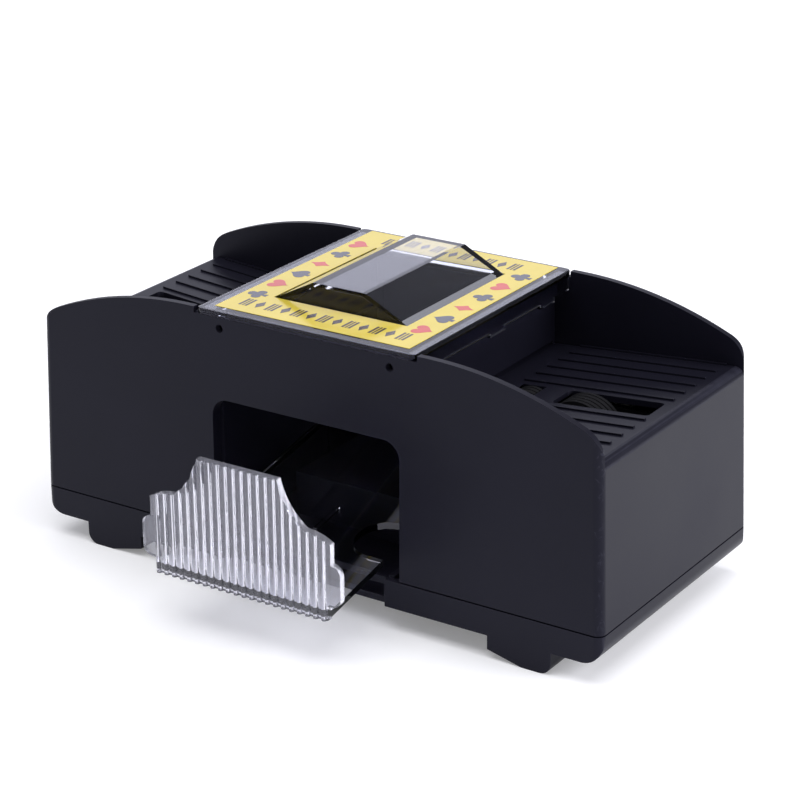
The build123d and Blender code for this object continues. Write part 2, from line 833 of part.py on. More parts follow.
def switch_body():
    front = switch_y + switch_depth
    half_height = switch_height / 2
    body = block(button_x - switch_half_width, button_x + switch_half_width, switch_y, front,
                 button_z - half_height, button_z + half_height)
    body -= rod(plunger_radius + running_clearance, button_x, button_z,
                front - plunger_depth - 2 * button_travel + 1, front + 1)
    for x in (button_x - tab_pitch, button_x, button_x + tab_pitch):
        body += block(x - tab_thickness / 2, x + tab_thickness / 2, switch_y - tab_length, switch_y + 1,
                      button_z - tab_width / 2, button_z + tab_width / 2)
    return body


def switch_plunger():
    front = switch_y + switch_depth - plunger_depth
    return rod(plunger_radius, button_x, button_z, front, plunger_end_y())


def cross_slot(x, y, z0, z1):
    """Cross recess for a screwdriver."""
    long, short = screw_slot_half, screw_slot / 2
    return block(x - long, x + long, y - short, y + short, z0, z1) + \
        block(x - short, x + short, y - long, y + long, z0, z1)


def base_screws():
    screws = []
    for x in (-post_x, post_x):
        for y in (-post_y, post_y):
            seat = underside_z + counterbore
            screw = post(screw_head_radius, x, y, seat - screw_head, seat)
            screw += post(screw_radius, x, y, seat, seam_z + base_screw_length - screw_tip_gap)
            screws.append(screw - cross_slot(x, y, 0, seat - screw_head + screw_slot_depth))
    return Compound(children=screws)


def gear_outline(teeth, phase):
    """Involute gear face centred on the origin, with one tooth at the given angle."""
    pitch_r = module * teeth / 2
    base_r = pitch_r * cos(radians(20))
    tip_r = pitch_r + gear_addendum * module
    root_r = pitch_r - gear_dedendum * module
    half_tooth = (pi * module / 2 - gear_backlash) / 2 / pitch_r
    inv_pitch = tan(radians(20)) - radians(20)
    points = []
    for tooth in range(teeth):
        middle = radians(phase) + 2 * pi * tooth / teeth
        radii = [max(base_r, root_r) + (tip_r - max(base_r, root_r)) * i / 3 for i in range(4)]
        flank = []
        for radius in radii:
            angle = acos(min(1, base_r / radius))
            flank.append((radius, half_tooth + inv_pitch - (tan(angle) - angle)))
        if root_r < base_r:
            flank.insert(0, (root_r, flank[0][1] + 0.02))
        points += [(r * cos(middle - a), r * sin(middle - a)) for r, a in flank]
        points += [(r * cos(middle + a), r * sin(middle + a)) for r, a in reversed(flank)]
    return make_face(Polyline(*points, close=True))


def gear(teeth, phase, centre, y0, face, bore):
    plane = Plane(origin=(centre[0], y0 + face, centre[1]), x_dir=(1, 0, 0), z_dir=(0, -1, 0))
    blank = extrude(plane * gear_outline(teeth, phase), amount=face)
    return blank - rod(bore, centre[0], centre[1], y0 - 1, y0 + face + 1)


def meshed_phase(phase, teeth, other_teeth, angle):
    """Phase of a gear that meshes with another lying at this angle from it."""
    used = (angle - phase) * teeth / 360
    return angle + 180 - (0.5 - used) * 360 / other_teeth


def centre_distance(teeth, other_teeth):
    return module * (teeth + other_teeth) / 2 + centre_extra


def placed(centre, distance, angle):
    return (centre[0] + distance * cos(radians(angle)), centre[1] + distance * sin(radians(angle)))


def feed_centre():
    return (feed_x, feed_z())


def exit_centre():
    return (exit_x, exit_z())


def idler_centre():
    """Below the line between the two roller shafts, in mesh with both."""
    a, b = exit_centre(), feed_centre()
    span = sqrt((b[0] - a[0]) ** 2 + (b[1] - a[1]) ** 2)
    near = centre_distance(exit_teeth, idler_teeth)
    far = centre_distance(feed_teeth, idler_teeth)
    along = (near ** 2 - far ** 2 + span ** 2) / (2 * span)
    down = sqrt(near ** 2 - along ** 2)
    ux, uz = (b[0] - a[0]) / span, (b[1] - a[1]) / span
    return (a[0] + along * ux + down * uz, a[1] + along * uz - down * ux)


def compound_centre():
    return placed(feed_centre(), centre_distance(feed_teeth, compound_small_teeth), compound_angle)


def motor_centre():
    return placed(compound_centre(), centre_distance(compound_big_teeth, pinion_teeth), motor_angle)


def plane_angle(start, end):
    dx, dz = end[0] - start[0], end[1] - start[1]
    turn = degrees(acos(dx / sqrt(dx ** 2 + dz ** 2)))
    return turn if dz >= 0 else -turn


def idler_phase():
    return meshed_phase(0, feed_teeth, idler_teeth, plane_angle(feed_centre(), idler_centre()))


def feed_gear():
    return gear(feed_teeth, 0, feed_centre(), near_gear_y, gear_face, shaft_radius)


def idler_gear():
    bore = pin_radius + running_clearance
    return gear(idler_teeth, idler_phase(), idler_centre(), near_gear_y, gear_face, bore)


def exit_gear():
    angle = plane_angle(idler_centre(), exit_centre())
    phase = meshed_phase(idler_phase(), idler_teeth, exit_teeth, angle)
    return gear(exit_teeth, phase, exit_centre(), near_gear_y, gear_face, shaft_radius)


def compound_gear():
    phase = meshed_phase(0, feed_teeth, compound_small_teeth, plane_angle(feed_centre(), compound_centre()))
    bore = pin_radius + running_clearance
    depth = far_gear_y - near_gear_y
    small = gear(compound_small_teeth, phase, compound_centre(), near_gear_y, depth, bore)
    return small + gear(compound_big_teeth, 0, compound_centre(), far_gear_y, gear_face, bore)


def motor_pinion():
    angle = plane_angle(compound_centre(), motor_centre())
    phase = meshed_phase(0, compound_big_teeth, pinion_teeth, angle)
    return gear(pinion_teeth, phase, motor_centre(), far_gear_y - 0.2, gear_face + 0.6, motor_shaft_radius)


def roller_shaft(centre):
    front = -bracket_half_gap - bracket_plate - shaft_overhang
    return rod(shaft_radius, centre[0], centre[1], front, near_gear_y + gear_face + end_play)


def roller_hub(centre, radius, tyre):
    half = roller_width / 2
    hub = rod(radius - tyre, centre[0], centre[1], -half, half)
    reach = half + hub_collar_reach
    hub += rod(shaft_radius + hub_collar, centre[0], centre[1], -reach, reach)
    return hub - rod(shaft_radius, centre[0], centre[1], -reach - 1, reach + 1)


def roller_tyre(centre, radius, tyre):
    half = roller_width / 2
    ring = rod(radius, centre[0], centre[1], -half, half)
    for i in range(tyre_groove_count):
        y = (i - (tyre_groove_count - 1) / 2) * tyre_groove_pitch
        groove = rod(radius + 1, centre[0], centre[1], y - tyre_groove / 2, y + tyre_groove / 2)
        ring -= groove - rod(radius - tyre_groove_depth, centre[0], centre[1], y - 1, y + 1)
    return ring - rod(radius - tyre, centre[0], centre[1], -half - 1, half + 1)


def shaft_bushes():
    bushes = []
    for centre in (feed_centre(), exit_centre()):
        for side in (-1, 1):
            inner, outer = bracket_half_gap, bracket_half_gap + bracket_plate
            tube = rod(bush_radius, centre[0], centre[1], inner, outer)
            tube += rod(bush_radius + bush_flange_rim, centre[0], centre[1], outer, outer + bush_flange)
            tube -= rod(shaft_radius + running_clearance, centre[0], centre[1], 0, near_gear_y)
            bushes.append(tube if side > 0 else mirror(tube, about=Plane.XZ))
    return Compound(children=bushes)


def gear_pin(centre, gear_top):
    """Headed pin pressed into the bracket's back plate."""
    head_y = gear_top + end_play
    pin = rod(pin_radius, centre[0], centre[1], bracket_half_gap, head_y)
    return pin + rod(pin_radius + pin_head_rim, centre[0], centre[1], head_y, head_y + pin_head)


def idler_pin():
    return gear_pin(idler_centre(), near_gear_y + gear_face)


def compound_pin():
    return gear_pin(compound_centre(), far_gear_y + gear_face)


def motor_can():
    x, z = motor_centre()
    front = bracket_half_gap
    can = rod(motor_radius, x, z, front - motor_length + motor_cap, front)
    can &= block(x - motor_radius, x + motor_radius, -motor_length, motor_length,
                 z - motor_flat_half, z + motor_flat_half)
    can += rod(motor_boss_radius, x, z, front, front + motor_boss)
    return can - rod(motor_shaft_radius + running_clearance, x, z, -motor_length, motor_length)


def motor_endcap():
    x, z = motor_centre()
    back = bracket_half_gap - motor_length
    cap = rod(motor_radius - cap_step, x, z, back, back + motor_cap)
    flat = motor_flat_half - cap_step
    cap &= block(x - motor_radius, x + motor_radius, back, back + motor_cap, z - flat, z + flat)
    for middle in (x - tag_x, x + tag_x):
        cap += block(middle - tag_width / 2, middle + tag_width / 2, back + tag_thickness,
                     back + 2 * tag_thickness, z, z + motor_flat_half + tag_height)
    return cap - rod(motor_shaft_radius + running_clearance, x, z, back - 1, back + motor_cap + 1)


def motor_shaft():
    x, z = motor_centre()
    back = bracket_half_gap - motor_length + motor_shaft_inset
    return rod(motor_shaft_radius, x, z, back, far_gear_y + gear_face + gear_layer_gap)


def bracket_top_z():
    return tray_z(bracket_inner_x) - tray_thickness - bracket_tray_gap


def bracket_wall():
    return block(bracket_inner_x, bracket_outer_x, bracket_half_gap, bracket_half_gap + bracket_plate,
                 bracket_bottom_z, bracket_top_z())


def roller_bracket():
    plate = bracket_wall()
    bracket = plate + mirror(plate, about=Plane.XZ)
    bracket += block(bracket_inner_x, bracket_outer_x, -bracket_foot_y, bracket_foot_y,
                     bracket_bottom_z, bracket_bottom_z + bracket_plate)
    x, z = motor_centre()
    for y in pad_front_y:
        bracket += block(x - pad_half, x + pad_half, y, y + pad_width,
                         bracket_bottom_z + 1, z - motor_flat_half - motor_seat_gap)
    for centre in (idler_centre(), compound_centre()):
        bracket += rod(pin_radius + pin_boss_rim, centre[0], centre[1],
                       bracket_half_gap + 1, near_gear_y - end_play)
        bracket -= rod(pin_radius, centre[0], centre[1], bracket_half_gap, near_gear_y)
    for centre in (feed_centre(), exit_centre()):
        bracket -= rod(bush_radius, centre[0], centre[1], -bracket_foot_y, bracket_foot_y)
    bracket -= rod(motor_boss_radius, x, z, 0, bracket_foot_y)
    for hole_x in bracket_hole_x:
        for hole_y in (-bracket_hole_y, bracket_hole_y):
            bracket -= post(screw_clear_radius, hole_x, hole_y, 0, bracket_bottom_z + 2 * bracket_plate)
    return bracket


def bracket_screws():
    screws = []
    seat = bracket_bottom_z + bracket_plate
    for x in bracket_hole_x:
        for y in (-bracket_hole_y, bracket_hole_y):
            screw = post(screw_head_radius, x, y, seat, seat + screw_head)
            screw += post(screw_radius, x, y, underside_z + wall / 2 + end_play, seat)
            top = seat + screw_head
            screws.append(screw - cross_slot(x, y, top - screw_slot_depth, top + 1))
    return Compound(children=screws)


def save(name, part):
    export_step(part, os.path.join("parts", name + ".step"))
    print(name)


os.makedirs("parts", exist_ok=True)

save("housing_shell", housing_shell())
save("base_tray", base_tray())
save("battery_door", battery_door())
save("top_cover", top_cover())
save("cover_sheet", cover_sheet())
save("card_drawer", card_drawer())
save("battery_cells", battery_cells())
save("battery_plates", battery_plates())
save("battery_springs", battery_springs())
save("button_cap", button_cap())
save("button_spring", button_spring())
save("switch_body", switch_body())
save("switch_plunger", switch_plunger())
save("base_screws", base_screws())

drive_parts = {
    "roller_bracket": roller_bracket(),
    "bracket_screws": bracket_screws(),
    "shaft_bushes": shaft_bushes(),
    "feed_shaft": roller_shaft(feed_centre()),
    "feed_hub": roller_hub(feed_centre(), feed_radius, feed_tyre),
    "feed_tyre": roller_tyre(feed_centre(), feed_radius, feed_tyre),
    "feed_gear": feed_gear(),
    "exit_shaft": roller_shaft(exit_centre()),
    "exit_hub": roller_hub(exit_centre(), exit_radius, exit_tyre),
    "exit_tyre": roller_tyre(exit_centre(), exit_radius, exit_tyre),
    "exit_gear": exit_gear(),
    "idler_gear": idler_gear(),
    "idler_pin": idler_pin(),
    "compound_gear": compound_gear(),
    "compound_pin": compound_pin(),
    "motor_can": motor_can(),
    "motor_endcap": motor_endcap(),
    "motor_shaft": motor_shaft(),
    "motor_pinion": motor_pinion(),
}

for name, part in drive_parts.items():
    save(name + "_right", part)
    save(name + "_left", mirror(part, about=Plane.YZ))
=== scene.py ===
import bmesh
import bpy
import json
from math import cos, pi, radians, sin
from mathutils import Matrix, Vector


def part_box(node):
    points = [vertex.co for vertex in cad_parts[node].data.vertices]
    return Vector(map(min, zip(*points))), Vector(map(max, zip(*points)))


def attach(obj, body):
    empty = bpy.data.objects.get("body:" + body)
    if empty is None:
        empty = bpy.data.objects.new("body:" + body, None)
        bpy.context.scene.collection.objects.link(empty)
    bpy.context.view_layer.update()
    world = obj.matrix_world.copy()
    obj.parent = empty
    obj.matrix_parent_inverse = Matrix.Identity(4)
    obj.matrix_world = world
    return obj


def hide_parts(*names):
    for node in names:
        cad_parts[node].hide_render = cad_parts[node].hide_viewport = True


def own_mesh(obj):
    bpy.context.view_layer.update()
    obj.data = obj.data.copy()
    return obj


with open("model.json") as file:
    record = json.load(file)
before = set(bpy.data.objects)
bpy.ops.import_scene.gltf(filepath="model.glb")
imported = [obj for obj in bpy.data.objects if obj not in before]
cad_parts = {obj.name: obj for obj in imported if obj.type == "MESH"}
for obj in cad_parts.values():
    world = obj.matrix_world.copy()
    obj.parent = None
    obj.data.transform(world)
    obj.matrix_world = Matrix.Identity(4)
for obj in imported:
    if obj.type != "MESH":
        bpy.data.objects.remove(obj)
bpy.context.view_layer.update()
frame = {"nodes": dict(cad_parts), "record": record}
record = frame["record"]
nodes = frame["nodes"]
print("frame loaded:", len(nodes), "nodes")

mm = 0.001
narrowCloud = (0.35, 0.65)  # the range of the slow noise that runs from one value to the other
wideCloud = (0.3, 0.7)  # the same, with a gentler change
deepGrain = 0.1 * mm
fineGrain = 0.05 * mm


def placed(name, mesh):
    obj = bpy.data.objects.new(name, mesh)
    bpy.context.scene.collection.objects.link(obj)
    return obj


# shader node groups

def newGroup(name, inputs, outputs):
    group = bpy.data.node_groups.new(name, "ShaderNodeTree")
    for title, value in inputs:
        socket = group.interface.new_socket(name=title, in_out="INPUT", socket_type="NodeSocketFloat")
        socket.default_value = value
    for title, kind in outputs:
        group.interface.new_socket(name=title, in_out="OUTPUT", socket_type=kind)
    return group


def mathNode(tree, operation, first, second=None, clamp=False):
    node = tree.nodes.new("ShaderNodeMath")
    node.operation = operation
    node.use_clamp = clamp
    for index, value in enumerate((first, second)):
        if value is None:
            continue
        if isinstance(value, (int, float)):
            node.inputs[index].default_value = value
        else:
            tree.links.new(value, node.inputs[index])
    return node.outputs[0]


def makeGrainGroup():
    group = newGroup("mouldedGrain", [("Scale", 900), ("Cloud Scale", 30), ("Strength", 1)],
                     [("Height", "NodeSocketFloat"), ("Cloud", "NodeSocketFloat")])
    start = group.nodes.new("NodeGroupInput")
    end = group.nodes.new("NodeGroupOutput")
    place = group.nodes.new("ShaderNodeTexCoord")
    fine = group.nodes.new("ShaderNodeTexNoise")
    fine.inputs["Detail"].default_value = 3
    coarse = group.nodes.new("ShaderNodeTexNoise")
    coarse.inputs["Detail"].default_value = 4
    group.links.new(place.outputs["Object"], fine.inputs["Vector"])
    group.links.new(place.outputs["Object"], coarse.inputs["Vector"])
    group.links.new(start.outputs["Scale"], fine.inputs["Scale"])
    group.links.new(start.outputs["Cloud Scale"], coarse.inputs["Scale"])
    height = mathNode(group, "MULTIPLY", fine.outputs["Fac"], start.outputs["Strength"])
    group.links.new(height, end.inputs["Height"])
    group.links.new(coarse.outputs["Fac"], end.inputs["Cloud"])
    return group


def makeWearAndHighlightGroup():
    # the mask of the narrow rounded edges: real wear on most finishes, and on the black shell also a painted
    # highlight along every edge
    group = newGroup("edgeWearAndHighlight", [("Amount", 0.5), ("Scale", 180)], [("Mask", "NodeSocketFloat")])
    start = group.nodes.new("NodeGroupInput")
    end = group.nodes.new("NodeGroupOutput")
    rounded = group.nodes.new("ShaderNodeAttribute")  # 1 on the small faces that round an edge
    rounded.attribute_name = "roundedEdge"
    place = group.nodes.new("ShaderNodeTexCoord")
    noise = group.nodes.new("ShaderNodeTexNoise")
    noise.inputs["Detail"].default_value = 5
    group.links.new(place.outputs["Object"], noise.inputs["Vector"])
    group.links.new(start.outputs["Scale"], noise.inputs["Scale"])
    broken = mathNode(group, "MULTIPLY", rounded.outputs["Fac"], noise.outputs["Fac"])
    mask = mathNode(group, "MULTIPLY", broken, start.outputs["Amount"], clamp=True)
    group.links.new(mask, end.inputs["Mask"])
    return group


dustPatches = {"threshold": 0.42, "contrast": 2.4}


def makeDustGroup():
    group = newGroup("dustFilm", [("Amount", 0.3), ("Scale", 60)], [("Mask", "NodeSocketFloat")])
    start = group.nodes.new("NodeGroupInput")
    end = group.nodes.new("NodeGroupOutput")
    place = group.nodes.new("ShaderNodeTexCoord")
    noise = group.nodes.new("ShaderNodeTexNoise")
    noise.inputs["Detail"].default_value = 8
    noise.inputs["Roughness"].default_value = 0.7
    group.links.new(place.outputs["Object"], noise.inputs["Vector"])
    group.links.new(start.outputs["Scale"], noise.inputs["Scale"])
    split = group.nodes.new("ShaderNodeSeparateXYZ")
    group.links.new(place.outputs["Normal"], split.inputs[0])
    upward = mathNode(group, "MAXIMUM", split.outputs["Z"], 0)
    patch = mathNode(group, "SUBTRACT", noise.outputs["Fac"], dustPatches["threshold"])
    patch = mathNode(group, "MULTIPLY", patch, dustPatches["contrast"], clamp=True)
    mask = mathNode(group, "MULTIPLY", upward, patch)
    mask = mathNode(group, "MULTIPLY", mask, start.outputs["Amount"], clamp=True)
    group.links.new(mask, end.inputs["Mask"])
    return group


grainGroup = makeGrainGroup()
wearAndHighlightGroup = makeWearAndHighlightGroup()
dustGroup = makeDustGroup()


class Paint:
    # one material under construction: its tree, its shader and short ways to add nodes

    def __init__(self, name):
        self.material = bpy.data.materials.new(name)
        self.material.use_nodes = True
        self.tree = self.material.node_tree
        self.shader = self.tree.nodes["Principled BSDF"]

    def link(self, start, end):
        self.tree.links.new(start, end)

    def group(self, group, **values):
        node = self.tree.nodes.new("ShaderNodeGroup")
        node.node_tree = group
        for key, value in values.items():
            node.inputs[key.replace("_", " ")].default_value = value
        return node

    def mix(self, fac, first, second):
        node = self.tree.nodes.new("ShaderNodeMix")
        node.data_type = "RGBA"
        for index, value in ((0, fac), (6, first), (7, second)):
            if hasattr(value, "is_output"):
                self.link(value, node.inputs[index])
            elif index == 0:
                node.inputs[0].default_value = value
            else:
                node.inputs[index].default_value = (*value, 1)
        return node.outputs[2]

    def ranged(self, value, low, high, fromLow=0.0, fromHigh=1.0):
        node = self.tree.nodes.new("ShaderNodeMapRange")
        self.link(value, node.inputs["Value"])
        node.inputs["From Min"].default_value = fromLow
        node.inputs["From Max"].default_value = fromHigh
        node.inputs["To Min"].default_value = low
        node.inputs["To Max"].default_value = high
        return node.outputs["Result"]

    def bump(self, height, strength, distance):
        node = self.tree.nodes.new("ShaderNodeBump")
        node.inputs["Strength"].default_value = strength
        node.inputs["Distance"].default_value = distance
        self.link(height, node.inputs["Height"])
        self.link(node.outputs["Normal"], self.shader.inputs["Normal"])

    def set(self, **values):
        for key, value in values.items():
            self.shader.inputs[key.replace("_", " ")].default_value = value


def mouldedPlastic(name, look):
    paint = Paint(name)
    grain = paint.group(grainGroup, Scale=look["grainScale"], Cloud_Scale=look["cloudScale"], Strength=1)
    wearAndHighlight = paint.group(wearAndHighlightGroup, Amount=look["wearAndHighlight"], Scale=look["wearAndHighlightScale"])
    dust = paint.group(dustGroup, Amount=look["dust"], Scale=look["dustScale"])
    colour = paint.mix(paint.ranged(grain.outputs["Cloud"], 0, 1, *narrowCloud), look["dark"], look["light"])
    # the narrow rounded edges take the worn colour: wear, and on the black shell also a painted highlight
    colour = paint.mix(wearAndHighlight.outputs["Mask"], colour, look["wornAndHighlightColour"])
    colour = paint.mix(dust.outputs["Mask"], colour, look["dustColour"])
    paint.link(colour, paint.shader.inputs["Base Color"])
    rough = paint.ranged(grain.outputs["Cloud"], look["roughLow"], look["roughHigh"], *wideCloud)
    dull = mathNode(paint.tree, "MULTIPLY", dust.outputs["Mask"], look["dustDulls"])
    rough = mathNode(paint.tree, "ADD", rough, dull)
    paint.link(rough, paint.shader.inputs["Roughness"])
    paint.set(Specular_IOR_Level=look["specular"], IOR=look["index"], Specular_Tint=look["sheen"])
    paint.bump(grain.outputs["Height"], look["bump"], deepGrain)
    return paint.material


shellLook = {
    "dark": (0.0064, 0.0062, 0.0108), "light": (0.0080, 0.0077, 0.0134),
    # the worn colour is lighter than the shell: partly edge wear, partly a painted highlight on the rounded
    # edges; the dark plastic keeps it too
    "wornAndHighlightColour": (0.035, 0.035, 0.05), "wearAndHighlight": 0.6, "wearAndHighlightScale": 260,
    "dustColour": (0.022, 0.022, 0.030), "dust": 0.06, "dustScale": 55, "dustDulls": 0.3,
    "grainScale": 1500, "cloudScale": 22, "bump": 0.07,
    "roughLow": 0.34, "roughHigh": 0.42, "specular": 0.14, "index": 1.5, "sheen": (0.80, 0.82, 1.0, 1),
}
darkLook = dict(shellLook, dark=(0.014, 0.014, 0.016), light=(0.02, 0.02, 0.023),
                roughLow=0.28, roughHigh=0.4)
whiteLook = {
    "dark": (0.62, 0.60, 0.55), "light": (0.72, 0.71, 0.67),
    "wornAndHighlightColour": (0.5, 0.48, 0.43), "wearAndHighlight": 0.4, "wearAndHighlightScale": 260,
    "dustColour": (0.4, 0.38, 0.34), "dust": 0.15, "dustScale": 55, "dustDulls": 0.3,
    "grainScale": 1100, "cloudScale": 60, "bump": 0.08,
    "roughLow": 0.32, "roughHigh": 0.45, "specular": 0.5, "index": 1.5, "sheen": (1, 1, 1, 1),
}
jacketLook = dict(whiteLook, dark=(0.03, 0.08, 0.06), light=(0.05, 0.12, 0.09), wornAndHighlightColour=(0.2, 0.2, 0.2))


def clearPlastic(name, look):
    paint = Paint(name)
    grain = paint.group(grainGroup, Scale=look["grainScale"], Cloud_Scale=look["cloudScale"], Strength=1)
    wearAndHighlight = paint.group(wearAndHighlightGroup, Amount=look["wearAndHighlight"], Scale=look["wearAndHighlightScale"])
    colour = paint.mix(paint.ranged(grain.outputs["Cloud"], 0, 1, *wideCloud), look["thin"], look["thick"])
    paint.link(colour, paint.shader.inputs["Base Color"])
    scuff = mathNode(paint.tree, "MULTIPLY", wearAndHighlight.outputs["Mask"], look["scuff"])
    rough = paint.ranged(grain.outputs["Cloud"], look["roughLow"], look["roughHigh"], *narrowCloud)
    paint.link(mathNode(paint.tree, "ADD", rough, scuff), paint.shader.inputs["Roughness"])
    paint.set(Transmission_Weight=look["through"], IOR=look["index"], Specular_Tint=look["sheen"])
    paint.bump(grain.outputs["Height"], look["bump"], deepGrain)
    return paint.material


clearLook = {
    "thin": (0.93, 0.94, 0.98), "thick": (0.89, 0.90, 0.96),
    "wearAndHighlight": 0.5, "wearAndHighlightScale": 300, "scuff": 0.12,
    "grainScale": 260, "cloudScale": 40, "bump": 0.03,
    "roughLow": 0.015, "roughHigh": 0.05, "through": 1.0, "index": 1.5, "sheen": (0.35, 0.35, 0.5, 1),
}
drawerLook = dict(clearLook, thin=(0.92, 0.92, 0.985), thick=(0.87, 0.87, 0.96), index=1.56,
                  sheen=(0.9, 0.9, 1, 1))
ribbedLook = dict(drawerLook, through=0.92)

filmValues = {"grainScale": 2600, "cloudScale": 70, "bump": 0.02, "roughLow": 0.16, "roughHigh": 0.24}


def printedFilm(name, look):
    paint = Paint(name)
    grain = paint.group(grainGroup, Scale=filmValues["grainScale"], Cloud_Scale=filmValues["cloudScale"],
                        Strength=1)
    colour = paint.mix(paint.ranged(grain.outputs["Cloud"], 0, 1, *narrowCloud), look["dark"], look["light"])
    paint.link(colour, paint.shader.inputs["Base Color"])
    rough = paint.ranged(grain.outputs["Cloud"], filmValues["roughLow"], filmValues["roughHigh"], *wideCloud)
    paint.link(rough, paint.shader.inputs["Roughness"])
    paint.bump(grain.outputs["Height"], filmValues["bump"], fineGrain)
    return paint.material


sheetLook = {"dark": (0.58, 0.455, 0.045), "light": (0.62, 0.49, 0.06)}
redInkLook = {"dark": (0.48, 0.055, 0.045), "light": (0.53, 0.075, 0.06)}
blackInkLook = {"dark": (0.045, 0.045, 0.065), "light": (0.07, 0.07, 0.10)}
bandInkLook = {"dark": (0.05, 0.035, 0.03), "light": (0.08, 0.06, 0.05)}


def rubberTyre(name, look):
    paint = Paint(name)
    grain = paint.group(grainGroup, Scale=look["grainScale"], Cloud_Scale=look["cloudScale"], Strength=1)
    dust = paint.group(dustGroup, Amount=look["dust"], Scale=look["dustScale"])
    colour = paint.mix(grain.outputs["Cloud"], look["dark"], look["light"])
    colour = paint.mix(dust.outputs["Mask"], colour, look["dustColour"])
    paint.link(colour, paint.shader.inputs["Base Color"])
    rough = paint.ranged(grain.outputs["Cloud"], look["roughLow"], look["roughHigh"], *wideCloud)
    paint.link(rough, paint.shader.inputs["Roughness"])
    paint.set(Specular_IOR_Level=look["specular"])
    paint.bump(grain.outputs["Height"], look["bump"], deepGrain)
    return paint.material


rubberLook = {
    "dark": (0.004, 0.004, 0.005), "light": (0.008, 0.008, 0.009), "specular": 0.1,
    "dustColour": (0.03, 0.03, 0.03), "dust": 0.1, "dustScale": 300,
    "grainScale": 1600, "cloudScale": 120, "bump": 0.3, "roughLow": 0.6, "roughHigh": 0.85,
}


def turnedMetal(name, look):
    paint = Paint(name)
    grain = paint.group(grainGroup, Scale=look["grainScale"], Cloud_Scale=look["cloudScale"], Strength=1)
    wearAndHighlight = paint.group(wearAndHighlightGroup, Amount=look["wearAndHighlight"], Scale=look["wearAndHighlightScale"])
    colour = paint.mix(paint.ranged(grain.outputs["Cloud"], 0, 1, *wideCloud), look["dark"], look["light"])
    colour = paint.mix(wearAndHighlight.outputs["Mask"], colour, look["wornAndHighlightColour"])
    paint.link(colour, paint.shader.inputs["Base Color"])
    rough = paint.ranged(grain.outputs["Cloud"], look["roughLow"], look["roughHigh"], *wideCloud)
    paint.link(rough, paint.shader.inputs["Roughness"])
    paint.set(Metallic=1.0)
    paint.bump(grain.outputs["Height"], look["bump"], fineGrain)
    return paint.material


steelLook = {
    "dark": (0.46, 0.46, 0.48), "light": (0.62, 0.62, 0.64),
    "wornAndHighlightColour": (0.8, 0.8, 0.8), "wearAndHighlight": 0.6, "wearAndHighlightScale": 500,
    "grainScale": 2200, "cloudScale": 160, "bump": 0.12, "roughLow": 0.22, "roughHigh": 0.4,
}
canLook = dict(steelLook, dark=(0.4, 0.41, 0.43), light=(0.52, 0.53, 0.55), roughLow=0.3, roughHigh=0.45)
brassLook = dict(steelLook, dark=(0.45, 0.30, 0.12), light=(0.62, 0.44, 0.18), wornAndHighlightColour=(0.85, 0.68, 0.35))

materials = {
    "black_shell": mouldedPlastic("satinBlackAbs", shellLook),
    "clear_plastic": clearPlastic("clearStyrene", clearLook),
    "printed_sheet": printedFilm("yellowPrintedFilm", sheetLook),
    "dark_plastic": mouldedPlastic("blackAcetal", darkLook),
    "white_plastic": mouldedPlastic("naturalAcetal", whiteLook),
    "roller_rubber": rubberTyre("rollerRubber", rubberLook),
    "steel": turnedMetal("platedSteel", steelLook),
    "spring_steel": turnedMetal("springSteel", steelLook),
    "motor_steel": turnedMetal("motorCanSteel", canLook),
    "brass_bush": turnedMetal("sinteredBronze", brassLook),
    "cell_jacket": mouldedPlastic("cellJacket", jacketLook),
}
finishOf = {"card_drawer": clearPlastic("clearDrawerStyrene", drawerLook)}  # nodes with their own finish
ribbedFront = clearPlastic("ribbedDrawerFront", ribbedLook)
redInk = printedFilm("redInk", redInkLook)
blackInk = printedFilm("blackInk", blackInkLook)
bandInk = printedFilm("bandInk", bandInkLook)

slotOf = {entry["node"]: entry["material_slot"] for entry in record["subparts"]}
bodyOf = {node: body for body, names in record["behaviour"]["bodies"].items() for node in names}


def finishFor(node):
    return finishOf.get(node, materials[slotOf[node]])


def standFor(piece, node):
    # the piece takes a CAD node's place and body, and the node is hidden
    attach(piece, bodyOf[node])
    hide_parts(node)


for name, obj in nodes.items():
    for index in range(len(obj.data.materials)):
        obj.data.materials[index] = finishFor(name)
    if not obj.data.materials:
        obj.data.materials.append(finishFor(name))
print("materials ready for", len(materials), "slots")


# moulded pieces: a merged copy of the CAD shape with softened edges, in millimetres and degrees

softEdges = {
    "housing_shell": {"width": 0.35, "segments": 2, "angle": 32, "sharp": 32},
    "base_tray": {"width": 0.35, "segments": 2, "angle": 32, "sharp": 32},
    "battery_door": {"width": 0.2, "segments": 2, "angle": 30, "sharp": 30},
    "top_cover": {"width": 0.25, "segments": 2, "angle": 20, "sharp": 14},
    "card_drawer": {"width": 0.2, "segments": 2, "angle": 50, "sharp": 40, "frontDepth": 4.0},
    "button_cap": {"width": 0.12, "segments": 2, "angle": 35, "sharp": 35},
}
mergeValues = {"distance": 0.002, "flatAngle": 0.6}


def mergedCopy(node):
    # the CAD shape with its triangles joined into flat faces
    work = bmesh.new()
    work.from_mesh(nodes[node].data)
    bmesh.ops.remove_doubles(work, verts=work.verts, dist=mergeValues["distance"] * mm)
    flatAngle = radians(mergeValues["flatAngle"])
    bmesh.ops.dissolve_limit(work, angle_limit=flatAngle, verts=work.verts, edges=work.edges)
    work.verts.ensure_lookup_table()
    corners = [vert.co.copy() for vert in work.verts]
    faces = [[vert.index for vert in face.verts] for face in work.faces]
    work.free()
    mesh = bpy.data.meshes.new(node + "Merged")
    mesh.from_pydata(corners, [], faces)
    return placed(node + "Merged", mesh)


def smoothed(mesh, sharpAngle):
    for face in mesh.polygons:
        face.use_smooth = True
    mesh.set_sharp_from_angle(angle=radians(sharpAngle))


